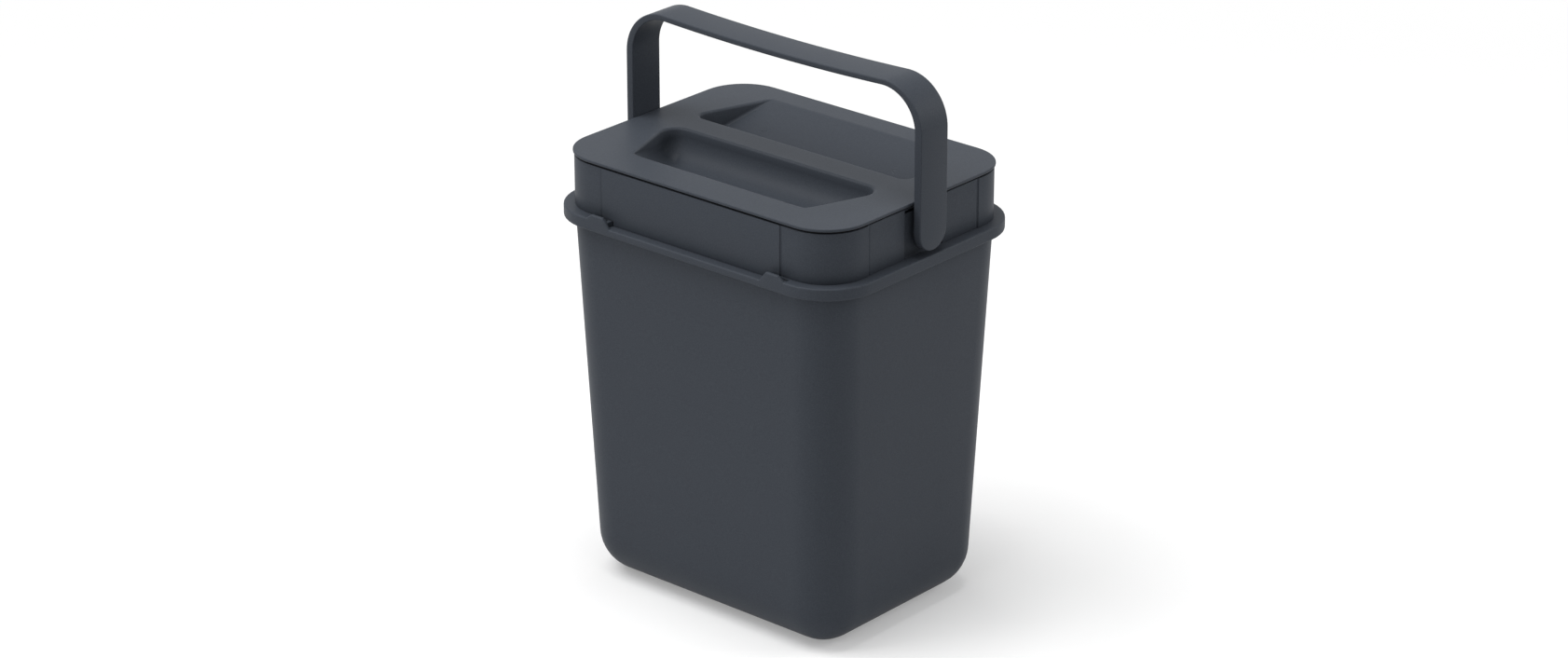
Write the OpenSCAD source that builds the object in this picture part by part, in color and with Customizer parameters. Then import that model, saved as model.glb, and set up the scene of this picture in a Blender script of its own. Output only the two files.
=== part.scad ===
// Compost caddy: a tapered bin, a neck frame that clamps the liner, a hinged lid and a bail.
// Frame: origin on the floor under the middle of the bin, +Z up, X along the long side,
// -Y is the front, the side with the lowered flange. The lid's hinge is at the rear.

/* [Lid] */
// Length of the lid plate along X
lid_len = 216; // [190:1:250]
// Width of the lid plate along Y
lid_wid = 165.8; // [145:0.2:190]
// Thickness of the lid plate
lid_t = 1.8; // [1.4:0.1:3]
// How far the lid plate overhangs the neck frame
lid_overhang = 0.8; // [0.4:0.1:1.5]
// Height of the shadow gap between the neck frame and the lid plate
lid_gap = 1.6; // [1:0.1:2.5]
// Depth of the locating rim under the lid plate
plug_depth = 7; // [4:0.5:8]
// Thickness of the locating rim
plug_t = 1.6; // [1.2:0.1:2.5]

/* [Finger wells] */
// Distance from the lid's ends to both wells, at the bridge
well_end_margin = 24; // [22:0.5:40]
// How much closer to the middle a well's end is at its outer edge
well_end_lean = 17.5; // [8:0.5:24]
// Distance from the lid's front edge to the front well
front_well_margin = 24.6; // [18:0.1:36]
// Bridge side of the front well, from the middle of the lid
front_well_inner = 7; // [4:0.5:12]
// Depth of the front well at the bottom of its scoop
front_well_depth = 19; // [12:0.5:20]
// Radius where the front well's upright wall turns into its scoop
front_well_foot_r = 15; // [6:0.5:16]
// Radius of the front well's plan corners by the bridge
front_well_corner_r = 10; // [4:0.5:12]
// Bridge side of the rear well, from the middle of the lid
rear_well_inner = 14; // [8:0.5:20]
// Distance from the lid's rear edge to the rear well
rear_well_margin = 16.9; // [15:0.1:30]
// Depth of the rear well at the foot of its ramp
rear_well_depth = 18.5; // [8:0.5:20]
// Radius of the wells' other plan corners
well_corner_r = 6; // [2:0.5:8]
// Radius where the rear well's upright wall meets its ramp
rear_well_foot_r = 4; // [2:0.5:6]
// Thickness of the wells' walls
well_t = 1.6; // [1.2:0.1:2.5]

/* [Bin] */
// Height of the flange ledge above the floor
ledge_z = 240; // [190:0.5:290]
// Corner radius of the neck frame, and close to it of the whole bin
corner_r = 27.5; // [24:0.5:34]
// Wall thickness of the tapered body
wall_t = 1.8; // [1.4:0.1:3]
// Thickness of the rim that stands up inside the neck frame
rim_t = 1.6; // [1.4:0.1:2]
// How much the body narrows on each side, per millimetre of height
body_taper = 0.038; // [0.02:0.002:0.06]
// Step between the neck frame's face and the top of the body
body_step = 0.4; // [0.2:0.1:1]
// Depth of the recess under the base
base_recess = 0.7; // [0.4:0.1:1]
// Width of the ring that the base stands on
base_ring = 12; // [8:1:20]

/* [Neck frame] */
// Height of the lid's top above the flange ledge
collar_h = 34; // [31:0.5:45]
// Thickness of the neck frame's outer and inner walls
frame_t = 1.8; // [1.4:0.1:2]
// Thickness of the neck frame's top
frame_top_t = 2; // [1.5:0.1:3]
// Width of the neck frame's top, from its outer face to its inner face
frame_w = 9.7; // [9:0.1:12]
// How far the inner wall reaches down
frame_inner_h = 10; // [6:0.5:12]
// Distance from the front corners' centres to the ends of the raised front panel
panel_in = 10.7; // [4:0.1:24]
// How far the front panel stands proud
panel_proud = 0.6; // [0.3:0.1:0.8]
// Distance from the corners' centres to the ends of the shallow recess in each side wall
side_recess_in = 5.1; // [3:0.1:15]
// Depth of the shallow recess in each side wall
side_recess = 0.5; // [0.2:0.1:0.7]
// Half width of the channel behind each handle leg
channel_half = 17.3; // [15:0.1:24]

/* [Flange] */
// How far the flange stands out from the neck frame
flange_out = 6.8; // [5.5:0.1:9]
// Height of the flange's downturned skirt
flange_h = 7.3; // [6:0.1:10]
// Thickness of the flange
flange_t = 2; // [1.5:0.1:2.4]
// How far the front stretch of the flange is lowered
front_drop = 3; // [2:0.1:3.5]
// Distance from the front corners' centres to the ends of the lowered stretch
front_drop_in = 20.2; // [20:0.1:30]
// Height of the two catch tabs above the ledge
tab_h = 3; // [2:0.1:5]
// Width of a catch tab at its top
tab_top_w = 9; // [5:0.5:12]
// Width of a catch tab at the ledge
tab_base_w = 17; // [10:0.5:17]
// Length of the slot behind each catch tab
slot_len = 18; // [12:0.5:18]
// Width of the slot behind each catch tab
slot_w = 3; // [2:0.1:3.2]

/* [Handle] */
// Width of the handle strap
strap_w = 24; // [18:1:26]
// Thickness of the strap's legs
leg_t = 5.3; // [4.5:0.1:7]
// Thickness of the strap's crossbar
bar_t = 3.6; // [3:0.1:6]
// Gap between the lid's edge and each leg
leg_gap = 0.8; // [0.5:0.1:2]
// Height of the pivot above the flange ledge
pivot_up = 15; // [13.5:0.1:18]
// Distance from the pivot up to the top of the crossbar at its ends
bail_reach = 88.5; // [80:0.5:104]
// Outer radius of the handle's bends
bend_r = 28.5; // [20:0.5:34]
// How far the crossbar sags in the middle
bar_sag = 2; // [0.5:0.1:3]
// Diameter of the handle's pivot studs
stud_d = 8; // [6:0.1:9]
// How far the studs' snap heads stand out all round
stud_head_over = 1.2; // [0.8:0.1:1.8]
// Width of the slit that lets a stud's head spring
stud_slit = 1.6; // [1:0.1:2]
// Diameter of the bosses round the studs
boss_d = 16; // [13:0.5:20]
// Thickness of the ears that carry the studs
ear_t = 3; // [2.4:0.1:3.4]

/* [Hinge] */
// Distance from the rear corners' centres to the middle of each hinge
hinge_in = 24.7; // [18:0.1:40]
// Diameter of the hinge pins
hinge_pin_d = 2.5; // [2:0.1:3.2]
// Outer diameter of the hinge knuckles
knuckle_d = 6.4; // [6:0.1:9]
// Width of a lid knuckle
knuckle_w = 14; // [10:1:18]
// Width of each lug on the neck frame
lug_w = 4; // [3:0.5:6]
// Depth of the hinge axis below the lid's top
hinge_drop = 9; // [8:0.5:11]

/* [Fits] */
// Radial running clearance of the studs and hinge pins
run_clear = 0.07; // [0.02:0.01:0.09]
// Radial clearance of a hinge pin in the lugs that hold it
hold_clear = 0.02; // [0.01:0.01:0.03]
// Gap between the hinge knuckles and the rear wall of the neck frame
hinge_gap = 0.35; // [0.3:0.05:1]
// Side clearance between faces that move past each other
side_clear = 0.3; // [0.2:0.05:0.5]
// Clearance of the neck frame round the bin's rim
frame_clear = 0.2; // [0.1:0.05:0.3]
// Height that the seal stands clear of the neck frame
seal_clear = 0.1; // [0.05:0.05:0.3]
// Clearance between the lid's locating rim and the neck frame
plug_clear = 1.5; // [1.2:0.1:2]

/* [Hidden] */
$fn = 96;
eps = 0.01;

// Heights
lid_z = ledge_z + collar_h;
lid_under = lid_z - lid_t;
rim_z = lid_under - lid_gap;
skirt_z = ledge_z - flange_h;
plate_z = ledge_z - flange_t;
drop_z = ledge_z - front_drop;
upstand_z = rim_z - frame_top_t - 1;

// The corner centres. Radii of the neck and the lid are measured from them.
lid_r = corner_r + lid_overhang;
ccx = lid_len / 2 - lid_r;
ccy = lid_wid / 2 - lid_r;
collar_in = corner_r - frame_t;
rim_out = collar_in - frame_clear;
rim_in = rim_out - rim_t;
frame_in = corner_r - frame_w;
plug_r = frame_in - plug_clear;
flange_r = corner_r + flange_out;
flange_y = ccy + flange_r;
panel_half = ccx - panel_in;
side_recess_half = ccy - side_recess_in;

// The tapered body
body_r = corner_r - body_step;
foot_cx = ccx - body_taper * (skirt_z - body_r);
foot_cy = ccy - body_taper * (skirt_z - body_r);
form_fn = 36;

// The handle
ear_x = ccx + rim_out;
leg_in = lid_len / 2 + leg_gap;
leg_out = leg_in + leg_t;
pivot_z = ledge_z + pivot_up;
bail_top = pivot_z + bail_reach;
bend_in_r = bend_r - (leg_t + bar_t) / 2;
boss_x = leg_in - side_clear;
head_x = ear_x - ear_t - side_clear;
head_t = 1.4;
stud_head_d = stud_d + 2 * stud_head_over;

// The hinge
hinge_x = ccx - hinge_in;
hinge_y = ccy + corner_r + hinge_gap + knuckle_d / 2;
hinge_z = lid_z - hinge_drop;
pin_len = knuckle_w + 2 * side_clear + 2 * lug_w;
pin_head_d = hinge_pin_d + 2;
pin_head_t = 1;

// The lowered stretch, the catch tabs and their slots
front_drop_half = ccx - front_drop_in;
tab_x = front_drop_half + tab_base_w / 2;
slot_y = ccy + corner_r + 0.8;

// The wells, in distance from the middle of the lid
well_half_long = lid_len / 2 - well_end_margin;
well_half_short = well_half_long - well_end_lean;
front_well_outer = lid_wid / 2 - front_well_margin;
rear_well_outer = lid_wid / 2 - rear_well_margin;

// ---- shared shapes ----

// Sweeps a 2D profile round the rounded rectangle of the neck. The profile's x is the
// distance from the corner centres and its y is the height.
module swept() {
    for (k = [0:3]) {
        out = k % 2 == 0 ? ccx : ccy;
        run = k % 2 == 0 ? ccy : ccx;
        rotate([0, 0, 90 * k]) {
            translate([out, 0, 0])
                rotate([90, 0, 0]) linear_extrude(2 * run, center = true) children();
            translate([out, run, 0]) rotate_extrude(angle = 90) children();
        }
    }
}

// A rectangular profile for a sweep
module band(r0, r1, z0, z1) {
    polygon([[r0, z0], [r1, z0], [r1, z1], [r0, z1]]);
}

// A flat plate with the neck's rounded outline
module plate(r, z0, z1) {
    for (sx = [-1, 1], sy = [-1, 1])
        translate([sx * ccx, sy * ccy, z0]) cylinder(r = r, h = z1 - z0);
    translate([-ccx - r, -ccy, z0]) cube([2 * (ccx + r), 2 * ccy, z1 - z0]);
    translate([-ccx, -ccy - r, z0]) cube([2 * ccx, 2 * (ccy + r), z1 - z0]);
}

// The tapered form: rounded upright corners over a foot with ball-shaped corners
module body_form(grow, top) {
    hull() {
        for (sx = [-1, 1], sy = [-1, 1]) {
            translate([sx * ccx, sy * ccy, top - eps])
                cylinder(r = body_r + grow, h = eps, $fn = form_fn);
            translate([sx * foot_cx, sy * foot_cy, body_r])
                sphere(r = body_r + grow, $fn = form_fn);
        }
    }
}

// A cylinder along X that starts at x0
module x_pin(d, x0, x1, y, z) {
    translate([x0, y, z]) rotate([0, 90, 0]) cylinder(d = d, h = x1 - x0);
}

// Points of an arc round c
function arc(c, r, a0, a1, n) =
    [for (i = [0:n]) let (a = a0 + (a1 - a0) * i / n) c + r * [cos(a), sin(a)]];

// ---- wells of the lid ----

// Plan of a well as a trapezoid with rounded corners: its long side at inner, by the bridge,
// with corners of radius r, and its short side at outer. g grows it.
module well_plan(inner, outer, r, g) {
    lean = atan2(well_end_lean, outer - inner);
    long_c = [well_half_long - r / tan(45 - lean / 2), inner + r];
    short_c = [well_half_short - well_corner_r * tan(45 - lean / 2), outer - well_corner_r];
    half = concat(arc(long_c, r + g, -90, lean, 8), arc(short_c, well_corner_r + g, lean, 90, 6));
    polygon(concat(half, [for (i = [len(half) - 1:-1:0]) [-half[i][0], half[i][1]]]));
}

// Side profile of the front well, in distance from the lid's middle and height: an upright
// wall and a scoop
scoop_run = front_well_outer - front_well_inner - front_well_foot_r;
scoop_r = (pow(scoop_run, 2) + pow(front_well_depth, 2)) / (2 * front_well_depth);
module front_profile(g) {
    low = front_well_inner + front_well_foot_r;
    polygon(concat(
        [[front_well_outer + g, 2], [front_well_inner - g, 2]],
        arc([low, front_well_foot_r - front_well_depth], front_well_foot_r + g, 180, 270, 8),
        arc([low, scoop_r - front_well_depth], scoop_r + g, 273, 270 + asin(scoop_run / scoop_r), 12),
        [[front_well_outer + g, -g]]));
}

// Side profile of the rear well: an upright wall and a straight ramp
module rear_profile(g) {
    slope = atan2(rear_well_depth, rear_well_outer - rear_well_inner);
    foot = rear_well_inner + rear_well_foot_r;
    foot_z = rear_well_foot_r / cos(slope) - (rear_well_outer - foot) * tan(slope);
    polygon(concat(
        [[rear_well_inner - g, 2]],
        arc([foot, foot_z], rear_well_foot_r + g, 180, 270 + slope, 6),
        [[rear_well_outer, -g / cos(slope)], [rear_well_outer + g, -g], [rear_well_outer + g, 2]]));
}

// Room of one well, from a side profile and its plan
module well(inner, outer, r, g) {
    intersection() {
        translate([0, 0, lid_z - 30]) linear_extrude(32) well_plan(inner, outer, r, g);
        translate([0, 0, lid_z]) rotate([90, 0, 90])
            linear_extrude(2 * well_half_long + 20, center = true) children();
    }
}

module wells(g) {
    mirror([0, 1, 0])
        well(front_well_inner, front_well_outer, front_well_corner_r, g) front_profile(g);
    well(rear_well_inner, rear_well_outer, well_corner_r, g) rear_profile(g);
}

// ---- sub-parts ----

module bin_body() {
    color("#44484d")
    difference() {
        union() {
            body_form(0, plate_z + eps);
            // rim inside the neck frame, ledge and downturned skirt
            swept() band(rim_in, rim_out, plate_z, upstand_z);
            swept() band(rim_in, flange_r, plate_z, ledge_z);
            swept() band(flange_r - flange_t, flange_r, skirt_z, ledge_z);
            lowered_ledge();
            for (s = [-1, 1]) catch_tab(s);
            for (s = [-1, 1]) handle_ear(s);
        }
        body_form(-wall_t, plate_z + eps);
        plate(rim_in, plate_z - 1, plate_z + 1);
        front_step();
        for (s = [-1, 1]) {
            translate([s * tab_x - slot_len / 2, -slot_y - slot_w, drop_z - 2 * flange_t])
                cube([slot_len, slot_w, 3 * flange_h]);
            x_bore(s);
        }
        // recess under the base
        translate([base_ring - foot_cx, base_ring - foot_cy, -1])
            cube([2 * (foot_cx - base_ring), 2 * (foot_cy - base_ring), 1 + base_recess]);
    }
}

// The ledge's plate where the front stretch is lowered
module lowered_ledge() {
    translate([-front_drop_half - flange_t, -flange_y + eps, drop_z - flange_t])
        cube([2 * (front_drop_half + flange_t), flange_r - rim_out, flange_t]);
    for (s = [-1, 1])
        translate([s * (front_drop_half + flange_t / 2) - flange_t / 2, -flange_y + eps, drop_z - flange_t])
            cube([flange_t, flange_r - rim_out, front_drop + flange_t / 2]);
}

// Room above the lowered stretch of the flange
module front_step() {
    translate([-front_drop_half, -flange_y - 1, drop_z])
        cube([2 * front_drop_half, flange_r - rim_out + 1, 2 * front_drop]);
}

module catch_tab(s) {
    translate([s * tab_x, -flange_y + flange_t, ledge_z])
        rotate([90, 0, 0]) linear_extrude(flange_t - eps)
            polygon([[-tab_base_w / 2, -1], [tab_base_w / 2, -1], [tab_base_w / 2, 0],
                     [tab_top_w / 2, tab_h], [-tab_top_w / 2, tab_h], [-tab_base_w / 2, 0]]);
}

// A thick patch of the rim with a boss, for one leg of the handle
module handle_ear(s) {
    mirror([s < 0 ? 1 : 0, 0, 0]) {
        translate([ear_x - ear_t, 1.5 - channel_half, plate_z])
            cube([ear_t, 2 * channel_half - 3, upstand_z - plate_z]);
        x_pin(boss_d, ear_x - 1, boss_x, 0, pivot_z);
    }
}

module x_bore(s) {
    mirror([s < 0 ? 1 : 0, 0, 0])
        x_pin(stud_d + 2 * run_clear, ear_x - ear_t - 1, boss_x + 1, 0, pivot_z);
}

module neck_frame() {
    color("#4a4e54")
    difference() {
        union() {
            difference() {
                union() {
                    swept() band(collar_in, corner_r, ledge_z, rim_z);
                    swept() band(frame_in, corner_r, rim_z - frame_top_t, rim_z);
                    swept() band(frame_in, frame_in + frame_t, rim_z - frame_inner_h, rim_z);
                    front_panel();
                }
                side_faces();
                for (s = [0, 1]) mirror([s, 0, 0]) channel();
            }
            for (s = [0, 1]) mirror([s, 0, 0]) channel_ends();
            for (s = [-1, 1], t = [-1, 1]) hinge_lug(s, t);
        }
        for (s = [-1, 1]) hinge_bore(s, hold_clear);
    }
}

// The raised front panel, which reaches down to the lowered ledge
module front_panel() {
    translate([-panel_half, -ccy - corner_r - panel_proud, ledge_z])
        cube([2 * panel_half, panel_proud + frame_t / 2, rim_z - ledge_z]);
    translate([side_clear - front_drop_half, -ccy - corner_r - panel_proud, drop_z])
        cube([2 * (front_drop_half - side_clear), panel_proud + frame_t, front_drop + 1]);
}

module side_faces() {
    for (s = [-1, 1])
        translate([s * (ccx + corner_r) - side_recess, -side_recess_half, ledge_z - 1])
            cube([2 * side_recess, 2 * side_recess_half, collar_h]);
}

// Room for a handle leg's boss, open from the flange to the lid
module channel() {
    translate([ear_x - 1, -channel_half, ledge_z - 1])
        cube([corner_r, 2 * channel_half, collar_h]);
}

module channel_ends() {
    for (s = [-1, 1])
        translate([ear_x + frame_clear, s * (channel_half + frame_t / 2) - frame_t / 2, ledge_z])
            cube([ccx + collar_in + frame_t / 2 - ear_x - frame_clear, frame_t, rim_z - ledge_z - 1]);
}

// One lug beside a lid knuckle; t chooses the side of the knuckle
module hinge_lug(s, t) {
    x0 = s * hinge_x + t * (knuckle_w / 2 + side_clear + lug_w / 2) - lug_w / 2;
    x_pin(knuckle_d, x0, x0 + lug_w, hinge_y, hinge_z);
    translate([x0, ccy + collar_in + frame_t / 2, hinge_z - 0.45 * knuckle_d])
        cube([lug_w, hinge_y - ccy - collar_in - frame_t / 2, 0.9 * knuckle_d]);
}

module hinge_bore(s, clear) {
    x_pin(hinge_pin_d + 2 * clear, s * hinge_x - pin_len, s * hinge_x + pin_len, hinge_y, hinge_z);
}

module lid() {
    color("#565a62")
    difference() {
        union() {
            plate(lid_r, lid_under, lid_z);
            swept() band(plug_r - plug_t, plug_r, lid_under - plug_depth, lid_under + lid_t / 2);
            intersection() {
                wells(well_t);
                plate(plug_r - plug_t / 2, lid_z - 30, lid_z);
            }
            for (s = [-1, 1]) knuckle(s);
        }
        wells(0);
        for (s = [-1, 1]) hinge_bore(s, run_clear);
    }
}

// A hinge knuckle and the arm that carries it over the neck frame's edge
module knuckle(s) {
    x0 = s * hinge_x - knuckle_w / 2;
    plate_y = ccy + lid_r;
    inner_y = hinge_y - 0.45 * knuckle_d;
    outer_y = hinge_y + 0.45 * knuckle_d;
    x_pin(knuckle_d, x0, x0 + knuckle_w, hinge_y, hinge_z);
    translate([x0, 0, 0]) rotate([90, 0, 90]) linear_extrude(knuckle_w)
        polygon([[inner_y, hinge_z], [outer_y, hinge_z], [outer_y - 0.4, hinge_z + 4.5],
                 [plate_y + 0.3, lid_z - 0.5], [plate_y - 2, lid_z - 0.5],
                 [plate_y - 2, lid_under + 0.4], [inner_y, lid_under - 0.5]]);
}

module lid_seal() {
    color("#17181a")
        swept() band(frame_in + 0.5, corner_r - 1, rim_z + seal_clear, lid_under);
}

module bail_handle() {
    color("#4c5057")
    difference() {
        union() {
            translate([0, strap_w / 2, 0]) rotate([90, 0, 0]) linear_extrude(strap_w) strap_side();
            for (s = [0, 1]) mirror([s, 0, 0]) {
                x_pin(strap_w, leg_in, leg_out, 0, pivot_z);
                x_pin(stud_d, head_x - eps, leg_in + leg_t / 2, 0, pivot_z);
                translate([head_x, 0, pivot_z]) rotate([0, -90, 0])
                    cylinder(d1 = stud_head_d, d2 = stud_d - 1, h = head_t);
            }
        }
        for (s = [-1, 1])
            translate([s * (head_x - head_t) - 4, -stud_slit / 2, pivot_z - stud_head_d])
                cube([8, stud_slit, 2 * stud_head_d]);
    }
}

// The strap seen from the front: two legs, two bends and a crossbar that sags
module strap_side() {
    out_c = [leg_out - bend_r, bail_top - bend_r];
    in_c = [leg_in - bend_in_r, bail_top - bar_t - bend_in_r];
    half = concat(
        [[leg_in, pivot_z], [leg_out, pivot_z]],
        arc(out_c, bend_r, 0, 90, 12),
        [for (i = [1:6]) let (u = i / 6) [out_c[0] * (1 - u), bail_top - bar_sag * (2 * u - u * u)]],
        [for (i = [0:5]) let (u = 1 - i / 6)
            [in_c[0] * (1 - u), bail_top - bar_t - bar_sag * (2 * u - u * u)]],
        arc(in_c, bend_in_r, 90, 0, 12));
    polygon(half);
    mirror([1, 0]) polygon(half);
}

module hinge_pin(s) {
    color("#9a9da1") {
        x_pin(hinge_pin_d, s * hinge_x - pin_len / 2, s * hinge_x + pin_len / 2, hinge_y, hinge_z);
        mirror([s < 0 ? 1 : 0, 0, 0])
            x_pin(pin_head_d, hinge_x + pin_len / 2, hinge_x + pin_len / 2 + pin_head_t,
                  hinge_y, hinge_z);
    }
}

module hinge_pin_left() {
    hinge_pin(-1);
}

module hinge_pin_right() {
    hinge_pin(1);
}

bin_body();
neck_frame();
lid();
lid_seal();
bail_handle();
hinge_pin_left();
hinge_pin_right();
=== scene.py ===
"""Compost caddy: the looks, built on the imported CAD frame.

The caddy is a set of polypropylene mouldings. Each one is swept or lofted here from its own
outline, with the small radii that a mould leaves, and takes the place of its plain CAD node.
Lengths are in millimetres until a mesh is made; the row frame is in metres.
"""

import math

import bmesh
import bpy
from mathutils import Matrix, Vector


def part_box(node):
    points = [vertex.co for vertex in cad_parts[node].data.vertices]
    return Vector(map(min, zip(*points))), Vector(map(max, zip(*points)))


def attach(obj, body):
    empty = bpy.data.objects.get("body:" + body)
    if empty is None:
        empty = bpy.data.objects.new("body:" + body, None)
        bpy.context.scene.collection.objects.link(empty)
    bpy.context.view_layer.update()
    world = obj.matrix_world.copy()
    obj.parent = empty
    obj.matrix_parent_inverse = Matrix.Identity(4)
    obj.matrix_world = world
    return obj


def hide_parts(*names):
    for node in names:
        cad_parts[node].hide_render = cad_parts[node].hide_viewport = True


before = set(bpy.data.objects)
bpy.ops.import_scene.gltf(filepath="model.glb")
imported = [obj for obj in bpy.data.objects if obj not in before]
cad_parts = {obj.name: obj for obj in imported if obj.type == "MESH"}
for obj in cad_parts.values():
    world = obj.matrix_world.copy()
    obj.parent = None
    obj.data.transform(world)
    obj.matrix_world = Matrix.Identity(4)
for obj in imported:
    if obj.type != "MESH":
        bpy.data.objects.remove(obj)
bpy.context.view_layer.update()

# ---------------------------------------------------------------- sizes, in millimetres


def mm_box(node):
    """A CAD node's lowest and highest corner in millimetres."""
    low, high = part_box(node)
    return low * 1000, high * 1000


BIN_LOW, BIN_HIGH = mm_box("bin_body")
NECK_LOW, NECK_HIGH = mm_box("neck_frame")
LID_LOW, LID_HIGH = mm_box("lid")
STRAP_HIGH = mm_box("bail_handle")[1]

# neck and lid: radii are measured from the corner centres (CX, CY)
COLLAR_R = 27.5
LID_OVERHANG = 0.8
LID_R = COLLAR_R + LID_OVERHANG
CX = LID_HIGH.x - LID_R
CY = -LID_LOW.y - LID_R
FLANGE_R = BIN_HIGH.x - CX
TOP = LID_HIGH.z
LID_THICK = 1.8
LID_UNDER = TOP - LID_THICK
LID_EDGE_BAND = 2.5
LID_EDGE_SOFT = 0.6
RIM = NECK_HIGH.z
FRONT_DROP = 3.0
LEDGE = NECK_LOW.z + FRONT_DROP
SKIRT_TALL = 7.3
SKIRT = LEDGE - SKIRT_TALL

# bin: each side draws in by BODY_TAPER for a millimetre of height
BODY_R = COLLAR_R - 0.4
BODY_TAPER = 0.038
WALL = 1.8
FLANGE_THICK = 2.0
BIN_RIM_OUT = COLLAR_R - 2.0
BIN_RIM_IN = BIN_RIM_OUT - 1.6
BIN_RIM_TOP = RIM - 3.0
SKIRT_ROUND = 1.1
BASE_Z = BIN_LOW.z
BASE_RING = 12.0
BASE_RECESS = 0.7

# flange: the lowered stretch, the two catch tabs and the slots behind them
DROP_HALF = 59.5
LEDGE_RISE = (60.9, 61.3)
TAB_HIGH = 3.0
TAB_TOP = (63.5, 72.5)
TAB_END = 76.5
SLOT_X = (63.6, 77.0)
SLOT_R = (COLLAR_R + 0.8, COLLAR_R + 3.8)

# neck frame
FRAME_WALL = 1.8
FRAME_LIP = 0.3
LIP_IN = COLLAR_R - 0.9
FRAME_IN = COLLAR_R - 9.7
FRAME_DEEP = 10.0
FRAME_TOP_THICK = 2.0
RING_OVERLAP = 0.3
PANEL_HALF = 69.0
PANEL_PROUD = 0.6
SIDE_HALF = 49.5
SIDE_DEEP = 0.5
CHANNEL_HALF = 17.3
CHANNEL_R = BIN_RIM_OUT - 1.0

# handle
STRAP_HALF = STRAP_HIGH.y
LEG_OUT = STRAP_HIGH.x
LEG_THICK = 5.3
BAR_THICK = 3.6
BEND_R = 28.5
BAR_SAG = 2.0
PIVOT_Z = LEDGE + 15.0
STRAP_RIM = 0.8
STUD_R = 4.0
STUD_CLEAR = 0.07
SNAP_R = 5.2
SNAP_TIP_R = 3.5
SNAP_LONG = 1.4
BOSS_R = 8.0
EAR_X = (CX + BIN_RIM_OUT - 3.0, CX + BIN_RIM_OUT + 0.05)
EAR_INSET = 1.5

# hinge: the lid's two knuckles turn between the neck frame's four lugs
KNUCKLE_R = 3.2
KNUCKLE_WIDE = 14.0
KNUCKLE_BORE = 1.32
ROLL_FLAT = 0.9 * KNUCKLE_R
LUG_WIDE = 4.0
LUG_BORE = 1.27
SIDE_GAP = 0.3
HINGE_Y = CY + COLLAR_R + 0.35 + KNUCKLE_R
HINGE_Z = TOP - 9.0
HINGE_X = 55.0

# the locating rim under the lid
PLUG_R = FRAME_IN - 1.5
PLUG_THICK = 1.6
PLUG_DEEP = 7.0

# how finely the curves are drawn
CORNER_STEPS = 12
SIDE_STEPS = 4
WALL_STEPS = 8
FOOT_STEPS = 10
EAR_STEPS = 48
TURNED_STEPS = 40
ROLL_STEPS = 32

# ---------------------------------------------------------------- mesh helpers


def arc(centre, radius, start, end, steps):
    """Points of an arc in a plane, angles in degrees."""
    turn = [math.radians(start + (end - start) * i / steps) for i in range(steps + 1)]
    return [(centre[0] + radius * math.cos(a), centre[1] + radius * math.sin(a)) for a in turn]


def rounded(corners, closed=True, steps=3):
    """A polyline of (x, y, radius) corners, each rounded by its own radius."""
    out = []
    last = len(corners) - 1
    for i, (x, y, radius) in enumerate(corners):
        if radius == 0 or (not closed and i in (0, last)):
            out.append((x, y))
            continue
        here = Vector((x, y))
        before = (Vector(corners[i - 1][:2]) - here).normalized()
        after = (Vector(corners[(i + 1) % len(corners)][:2]) - here).normalized()
        half = before.angle(after) / 2
        reach = radius / math.tan(half)
        centre = here + (before + after).normalized() * radius / math.sin(half)
        first, final = here + before * reach - centre, here + after * reach - centre
        for k in range(steps + 1):
            # slerp gives the way only, at a length of 1
            out.append(tuple(centre + first.slerp(final, k / steps) * radius))
    return out


def link_object(name, data):
    """A new object in the scene, at the origin."""
    thing = bpy.data.objects.new(name, data)
    bpy.context.scene.collection.objects.link(thing)
    return thing


# points closer than MERGE and slivers thinner than SLIVER go, in metres; an edge that turns
# by more than SHARP_FROM degrees is shaded sharp
MERGE, SLIVER, SHARP_FROM = 2e-6, 1e-6, 30.0


def make_piece(name, verts, faces, body, node=None):
    """A closed, smooth-shaded mesh from millimetre points, which rides on a body."""
    mesh = bpy.data.meshes.new(name)
    mesh.from_pydata([Vector(v) / 1000 for v in verts], [], faces)
    shape = bmesh.new()
    shape.from_mesh(mesh)
    bmesh.ops.remove_doubles(shape, verts=shape.verts, dist=MERGE)
    bmesh.ops.dissolve_degenerate(shape, edges=shape.edges, dist=SLIVER)
    bmesh.ops.recalc_face_normals(shape, faces=shape.faces)
    shape.to_mesh(mesh)
    shape.free()
    mesh.shade_smooth()
    mesh.set_sharp_from_angle(angle=math.radians(SHARP_FROM))
    piece = link_object(name, mesh)
    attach(piece, body)
    if node:
        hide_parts(node)
    return piece


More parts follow.
